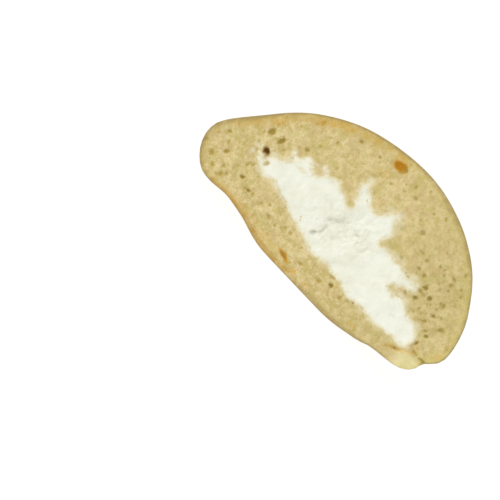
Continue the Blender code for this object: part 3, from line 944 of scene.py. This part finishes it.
def toasted(tree, where, shade, lip):
    """A crumb's colour made golden near the skin, brown in the crust, browner at the base partly
    as painted shadow, and dull at its edge.
    """
    along = node(tree, "ShaderNodeSeparateXYZ", {0: where}).outputs["X"]
    gold = layered(tree, GOLD, (stepped(tree, along, -6, 14), GOLD_PALE))
    baked = layered(tree, RIND, (stored(tree, "browned_and_shadowed"), RIND_BASE))
    rind, golden = stored(tree, "rind"), stored(tree, "golden")
    past_crust = worked(tree, "SUBTRACT", rind, stored(tree, "crust"))
    width = scaled(tree, golden, 4.0, 0.6)
    strays = scaled(tree, grain(tree, where, 1.6), 1, -0.5)
    uneven = scaled(tree, grain(tree, where, 1.8, 4.0, 0.7), 3.4, -0.9)
    crusty = product(tree, uneven, scaled(tree, lip, -0.8, 0.8))
    for depth, stray, outer, inner, share, paint in (
        (rind, 3.0, width, 0.4, product(tree, golden, uneven), gold),
        (past_crust, 1.0, 0.6, -0.4, crusty, baked),
        (rind, 0.6, 0.7, 0.1, scaled(tree, lip, -0.4, 0.45), SKIN_EDGE),
    ):
        near = stepped(tree, scaled(tree, strays, stray, depth), outer, inner)
        shade = layered(tree, shade, (product(tree, near, share), paint))
    return shade


def crumb_colour(tree, where, milky):
    """All of the crumb: its lip, its toasted edge, rubbed-in cream, burnt sugar and painted dark
    spots.
    """
    lip = stored(tree, "lip")
    flap = (product(tree, lip, 0.8), lip_colour(tree, where))
    shade = toasted(tree, where, layered(tree, mottled_crumb(tree, where), flap), lip)
    uneven = scaled(tree, grain(tree, where, 0.9, 3.0), 0.7, 0.55)
    return layered(
        tree, shade,
        (milky, MILK),
        (product(tree, stored(tree, "caramel"), uneven), CARAMEL),
        (product(tree, stored(tree, "dark_spots"), uneven), PAINTED_DARK_BROWN),
    )


def cream_colour(tree, where):
    """Cream: nearly white, a little darker in its folds, greyed by painted shade in its tears and
    pit.
    """
    folds = stepped(tree, grain(tree, where, 3.5, 4.0), 0.4, 0.75)
    return layered(tree, CREAM, (folds, CREAM_SHADE), (stored(tree, "painted_cream_shade"), CREAM_SPOT_SHADE))


def cut_colour(tree, where):
    """The cut's colour, and how much of it is covered by cream from its ragged edge inwards."""
    fine = scaled(tree, grain(tree, where, 1.2, 1.0), 1, -0.5)
    reach = scaled(tree, fine, 1.4, stored(tree, "cream_reach"))
    thin, milky = flaky(tree, where, "thin"), flaky(tree, where, "milky")
    cream = product(tree, stepped(tree, reach, -0.3, 1.6), scaled(tree, thin, -1, 1))
    smeared = product(tree, stepped(tree, reach, -1.2, 0.8), scaled(tree, thin, -0.6, 0.9))
    return layered(
        tree, crumb_colour(tree, where, milky),
        (smeared, layered(tree, SMEARED, (milky, MILK))),
        (cream, cream_colour(tree, where)),
    ), cream


def skin_colour(tree, where):
    """Baked skin: gold, in paler and deeper patches, with a painted highlight beside the cut."""
    split = node(tree, "ShaderNodeSeparateXYZ", {0: where}).outputs
    height, strays = split["Z"], grain(tree, where, 9, 2.0)
    behind, crown = scaled(tree, strays, 5.0, split["Y"]), scaled(tree, strays, 14.0, height)
    return layered(
        tree, SKIN,
        (stepped(tree, grain(tree, where, 14, 4.0), 0.4, 0.7), SKIN_DEEP),
        (stepped(tree, grain(tree, where, 5, 3.0), 0.5, 0.8, 0.5), SKIN_PALE_AND_HIGHLIGHT),
        # painted highlight: the skin lighter in a band beside the cut
        (stepped(tree, behind, cut_y + 11, cut_y + 5, 0.55), SKIN_PALE_AND_HIGHLIGHT),
        (stepped(tree, crown, 42, 56, 0.6), SKIN_DEEP),
        (stepped(tree, height, 9, 1, 0.6), SKIN_BASE),
        (stepped(tree, grain(tree, where, 0.7, 1.0), 0.72, 0.8, 0.3), SKIN_DEEP),
    )


def finish(tree, shader, shade, rough, height, strength=BUMP):
    """Joins a colour, a roughness and a bump to a shader, for soft food with a low shine."""
    bump = node(tree, "ShaderNodeBump", {
        "Height": height, "Strength": strength, "Distance": BUMP_DEPTH,
    })
    for name, value in (("Base Color", shade), ("Roughness", rough), ("Normal", bump.outputs[0])):
        tree.links.new(value, shader.inputs[name])
    shader.inputs["Specular IOR Level"].default_value = SHINE


def dough_material():
    """The skin outside and the crumb on the cut, with cream smeared over its edge."""
    material, tree, shader = new_material("baked dough")
    where, on_crumb = in_millimetres(tree), stored(tree, "on_crumb")
    shade, cream = cut_colour(tree, where)
    shade = layered(tree, skin_colour(tree, where), (on_crumb, shade))
    rough = scaled(tree, on_crumb, CRUMB_ROUGH - SKIN_ROUGH, SKIN_ROUGH)
    rough = scaled(tree, cream, -CREAM_SMOOTHER, rough)
    bare = scaled(tree, cream, -1, 1)
    pores = product(tree, grain(tree, where, 0.45, 3.0), on_crumb, bare)
    peel = scaled(tree, grain(tree, where, 1.1, 2.0), 0.35, pores)
    height = scaled(tree, cream, 0.3, peel)
    finish(tree, shader, shade, rough, height)
    return material


baked_dough = dough_material()
dough.data.materials.append(baked_dough)
holes = bubble_tree()
for spacing, smallest, largest, depth, seed in BUBBLES:
    add_tree(dough, holes, {
        "Spacing": spacing, "Smallest": smallest, "Largest": largest, "Depth": depth,
        "Stretch": STRETCH, "Turn": TURN, "Ragged": RAGGED, "Seed": seed,
        "Material": baked_dough,
    })
made_plain(dough)
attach(dough, "root")
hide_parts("dough")


# Cream -----------------------------------------------------------------------------------------
# Whipped vegetable cream, piped into the bun after baking. The knife dragged it level with the
# cut and tore it, so its face is in soft ragged flakes and its edge smears over the crumb.

CREAM_STEP = 0.28
SINK = 0.9  # how far behind the face the side of the filling starts, out of sight
TEAR_DEPTH = 0.6  # of its flakes, where it is torn most
TORN = (1.0, 21, 17, 11, 15)  # the oval where that is
CUTS = [  # where the knife tore it: x and height along the line, then half width and depth
    ([(-5.4, 13.4), (-4.8, 14.3), (-3.8, 15.2), (-3.3, 16.4), (-3.4, 18.2)], (0.4, 0.5)),
    ([(-4.5, 19.6), (-3.4, 20.7), (-1.9, 21.4), (-0.4, 22.2)], (0.4, 0.35)),
    ([(-0.4, 22.2), (-0.4, 20.7), (-1.1, 19.4)], (0.35, 0.3)),
    ([(3.2, 22.4), (4.2, 22.0), (5.1, 22.9)], (0.35, 0.3)),
]

filling = packed("cream")
wall, wall_verts, edge_count = deep_wall(filling)
wall_points = np.array([vert.co for vert in wall_verts])
inner_line = wall_points[:edge_count, [0, 2]]
wall_points[:edge_count, 1] += SINK

# The face, and behind its edge a hem that joins it to the side of the filling
cream_inner = spread(mouth_line, CREAM_STEP, seed=5)
cap_faces = triangles_between([mouth_line], cream_inner)
hem_faces = triangles_between([mouth_line, inner_line], np.zeros((0, 2)))
cap_line = np.vstack([mouth_line, cream_inner])
cap_count = len(cap_line)

# The solid's own face, joined to the crumb along the pocket's mouth
cream_tree = BVHTree.FromBMesh(filling)
level = np.empty(cap_count)
for k, (x, z) in enumerate(cap_line):
    nearest = np.argmin(np.hypot(*(mouth_line - (x, z)).T))
    level[k] = depth_at(cream_tree, x, z, mouth_level[nearest])
level[:mouth_count] = mouth_level
level[mouth_count:] = softened(level, cap_faces, 8)[mouth_count:]

# Torn flakes, and the deeper cuts, fade out towards the cream's edge
from_pocket = from_line(cap_line, mouth_line, True)
reach = cream_reach(cap_line, from_pocket)
body = eased(np.minimum(reach - 0.3, from_pocket), 0, 1.8)
torn = patch(cap_line, *TORN, 0.6) + 0.3
flakes = np.abs(swell(cap_line, 2.6, 15, 4)) + 0.35 * np.abs(swell(cap_line, 0.9, 19, 2))
cap_depths = level - raised(reach) + TEAR_DEPTH * torn * body * flakes
ragged = cap_line + 0.5 * np.stack([swell(cap_line, 1.2, k, 2) for k in (21, 25)], axis=1)
for line, size in CUTS:
    cap_depths += groove(ragged, line, size) * body
cap_depths[:mouth_count] = mouth_level - raised(mouth_reach)
cap_points = np.stack([cap_line[:, 0], cut_y + cap_depths, cap_line[:, 1]], axis=1)
cream_points = np.vstack([cap_points, wall_points])
hem_order = np.concatenate([np.arange(mouth_count), cap_count + np.arange(edge_count)])
cream_faces = (
    cap_faces.tolist() + hem_order[hem_faces].tolist() + numbered(wall, wall_verts, cap_count)
)
cream = new_object("cream_filling", cream_points, cream_faces)
keep_sharp(cream.data, 0, mouth_count)
mark(cream.data, np.arange(cap_count), marks(cap_line, from_pocket), BARE)


def cream_material():
    """The cream, with crumb dragged over it inside its ragged edge."""
    material, tree, shader = new_material("whipped cream")
    where = in_millimetres(tree)
    shade, cream = cut_colour(tree, where)
    rough = scaled(tree, cream, -CREAM_SMOOTHER, CRUMB_ROUGH)
    flakes = product(tree, grain(tree, where, 0.9, 4.0), 0.7)
    finish(tree, shader, shade, rough, scaled(tree, cream, 0.3, flakes))
    return material


cream.data.materials.append(cream_material())
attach(cream, "root")
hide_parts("cream")


# Loose crumbs ----------------------------------------------------------------------------------
# Crumbs that the knife tore from the dough and pressed into the cream, most of them at its edge.
# They are uneven scraps of the same dough, whitened in part by the cream that holds them.

CRUMB_RADII = (0.08 * MM, 0.28 * MM)
CRUMB_SQUASH = ((0.6, 0.6, 0.6), (1.3, 1.3, 1.3))
CRUMB_LUMPS = 0.25 * MM  # size of their unevenness
CRUMB_SEEDS = (4, 7, 9)  # for their places, their radii and how they are squashed
CRUMB_FACES = 2  # subdivisions of a ball
CRUMB_DENSITY = 0.4e6  # to the square metre, where they lie thickest
CRUMB_BELT = 1.8  # how far in from the cream's edge they lie
CLUSTERS = [
    (1.0, 27.0, 14.0, 1.8, 1.3, 35), (0.6, -14.9, 21.4, 1.4, 1.0, 20),
    (0.6, 3.5, 15.8, 1.4, 1.0, 0), (0.6, -10.0, 13.9, 1.2, 1.0, 0),
    (0.4, -20.0, 19.0, 3.0, 2.0, 0), (0.3, 12.0, 18.0, 4.0, 3.0, 0),
]

crumbly = np.zeros(len(cream_points))
crumbly[:cap_count] = np.maximum(
    eased(reach, CRUMB_BELT, 0) * eased(reach, -0.3, 0.1), spotted(cap_line, CLUSTERS)
)
write(cream.data, "crumbly", crumbly)


def crumb_tree():
    """Small uneven crumbs, strewn where an object has the attribute "crumbly"."""
    tree, into = geometry_tree("loose crumbs", [
        ("Bed", "Object", None), ("Density", "Float", 1.0), ("Smallest", "Float", 0.1 * MM),
        ("Largest", "Float", 0.3 * MM), ("Seed", "Int", 1), ("Material", "Material", None),
    ])
    bed = node(tree, "GeometryNodeObjectInfo", {"Object": into["Bed"]}).outputs["Geometry"]
    strewn = node(tree, "GeometryNodeDistributePointsOnFaces", {
        "Mesh": bed, "Density": product(tree, named(tree, "crumbly"), into["Density"]),
        "Seed": into["Seed"],
    }, distribute_method="RANDOM").outputs["Points"]
    ball = node(tree, "GeometryNodeMeshIcoSphere", {"Radius": 1.0, "Subdivisions": CRUMB_FACES})
    radius = mostly_small(tree, into, CRUMB_SEEDS[1], 2.0)
    squash = random_between(tree, *CRUMB_SQUASH, CRUMB_SEEDS[2])
    crumbs = node(tree, "GeometryNodeInstanceOnPoints", {
        "Points": strewn, "Instance": ball.outputs["Mesh"],
        "Rotation": random_between(tree, (0, 0, 0), (2 * pi, 2 * pi, 2 * pi), into["Seed"]),
        "Scale": vectors(tree, "SCALE", squash, Scale=radius),
    }).outputs[0]
    whole = node(tree, "GeometryNodeRealizeInstances", {"Geometry": crumbs}).outputs[0]
    position = node(tree, "GeometryNodeInputPosition").outputs[0]
    lumps = node(tree, "ShaderNodeTexNoise", {
        "Vector": position, "Scale": 1 / CRUMB_LUMPS, "Detail": 1.0,
    }).outputs[1]
    lumps = vectors(tree, "SUBTRACT", lumps, (0.5, 0.5, 0.5))
    uneven = node(tree, "GeometryNodeSetPosition", {
        "Geometry": whole, "Offset": vectors(tree, "SCALE", lumps, Scale=into["Largest"]),
    })
    end_tree(tree, uneven.outputs[0], into["Material"])
    return tree


def loose_crumb_material():
    """Crumb, some of it whitened with cream."""
    material, tree, shader = new_material("loose crumb")
    where = in_millimetres(tree)
    pale = stepped(tree, grain(tree, where, 2.0), 0.4, 0.6)
    creamed = scaled(tree, stepped(tree, grain(tree, where, 0.4), 0.4, 0.6), 0.6, 0.3)
    shade = layered(tree, CRUMB_OLIVE, (pale, CRUMB_PALE), (creamed, MILK))
    rough = scaled(tree, grain(tree, where, 0.3), 0.2, 0.7)
    finish(tree, shader, shade, rough, grain(tree, where, 0.15), 0.4)
    return material


loose = new_object("loose_crumbs", [], [])
add_tree(loose, crumb_tree(), {
    "Bed": cream, "Density": CRUMB_DENSITY, "Smallest": CRUMB_RADII[0], "Largest": CRUMB_RADII[1],
    "Seed": CRUMB_SEEDS[0], "Material": loose_crumb_material(),
})
made_plain(loose)
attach(loose, "root")


# Floor, light and camera -----------------------------------------------------------------------
# A plain white floor that runs into a white sky, with soft light from the upper left. The camera
# is rolled, because the half leans in the photograph, and looks slightly down on the crown.

FLOOR_SIZE = 20
PAPER = (0.1, 0.1, 0.1, 1)  # so dark, and glowing, that hardly any shadow falls on it
PAPER_GLOW = 0.95
WHITE = (1, 1, 1, 1)
SKY_LIGHT = 0.6
SKY_SEEN = 0.45  # how much brighter the sky looks to the camera
KEY_STRENGTH = 1.25
KEY_WIDTH = radians(70)
KEY_FROM = Vector((-0.55, -0.62, 0.75))
ROLL = radians(46.6)
DIP = radians(8)
AIM = Vector((-0.0135, cut_y * MM, -0.00236))
DISTANCE = 0.6
FRAME_WIDTH = 0.14  # what the picture spans at the cut
SENSOR = 36.0

bpy.ops.mesh.primitive_plane_add(size=FLOOR_SIZE)
floor = bpy.context.object
floor.name = "floor"
paper, _, paper_shader = new_material("white paper")
for name, value in (
    ("Base Color", PAPER), ("Roughness", 1.0), ("Specular IOR Level", 0.0),
    ("Emission Color", WHITE), ("Emission Strength", PAPER_GLOW),
):
    paper_shader.inputs[name].default_value = value
floor.data.materials.append(paper)

world = bpy.data.worlds.new("studio")
world.use_nodes = True
bpy.context.scene.world = world
sky = world.node_tree
background = sky.nodes["Background"]
seen = node(sky, "ShaderNodeLightPath").outputs["Is Camera Ray"]
strength = scaled(sky, seen, SKY_SEEN, SKY_LIGHT)
sky.links.new(strength, background.inputs["Strength"])
background.inputs["Color"].default_value = WHITE

key = bpy.data.lights.new("key", "SUN")
key.energy = KEY_STRENGTH
key.angle = KEY_WIDTH
key_object = bpy.data.objects.new("key", key)
key_object.rotation_euler = KEY_FROM.to_track_quat("Z", "Y").to_euler()
bpy.context.scene.collection.objects.link(key_object)

right = Vector((1, 0, 0))
above = Vector((0, sin(DIP), cos(DIP)))
look = Vector((0, cos(DIP), -sin(DIP)))
camera_data = bpy.data.cameras.new("camera")
camera_data.sensor_width = SENSOR
camera_data.lens = SENSOR * DISTANCE / FRAME_WIDTH
camera = bpy.data.objects.new("camera", camera_data)
across_picture = cos(ROLL) * right + sin(ROLL) * above
up_picture = -sin(ROLL) * right + cos(ROLL) * above
turned = Matrix((across_picture, up_picture, -look)).transposed().to_4x4()
camera.matrix_world = Matrix.Translation(AIM - look * DISTANCE) @ turned
bpy.context.scene.collection.objects.link(camera)
bpy.context.scene.camera = camera
bpy.context.scene.view_settings.view_transform = "Standard"

bpy.context.view_layer.update()
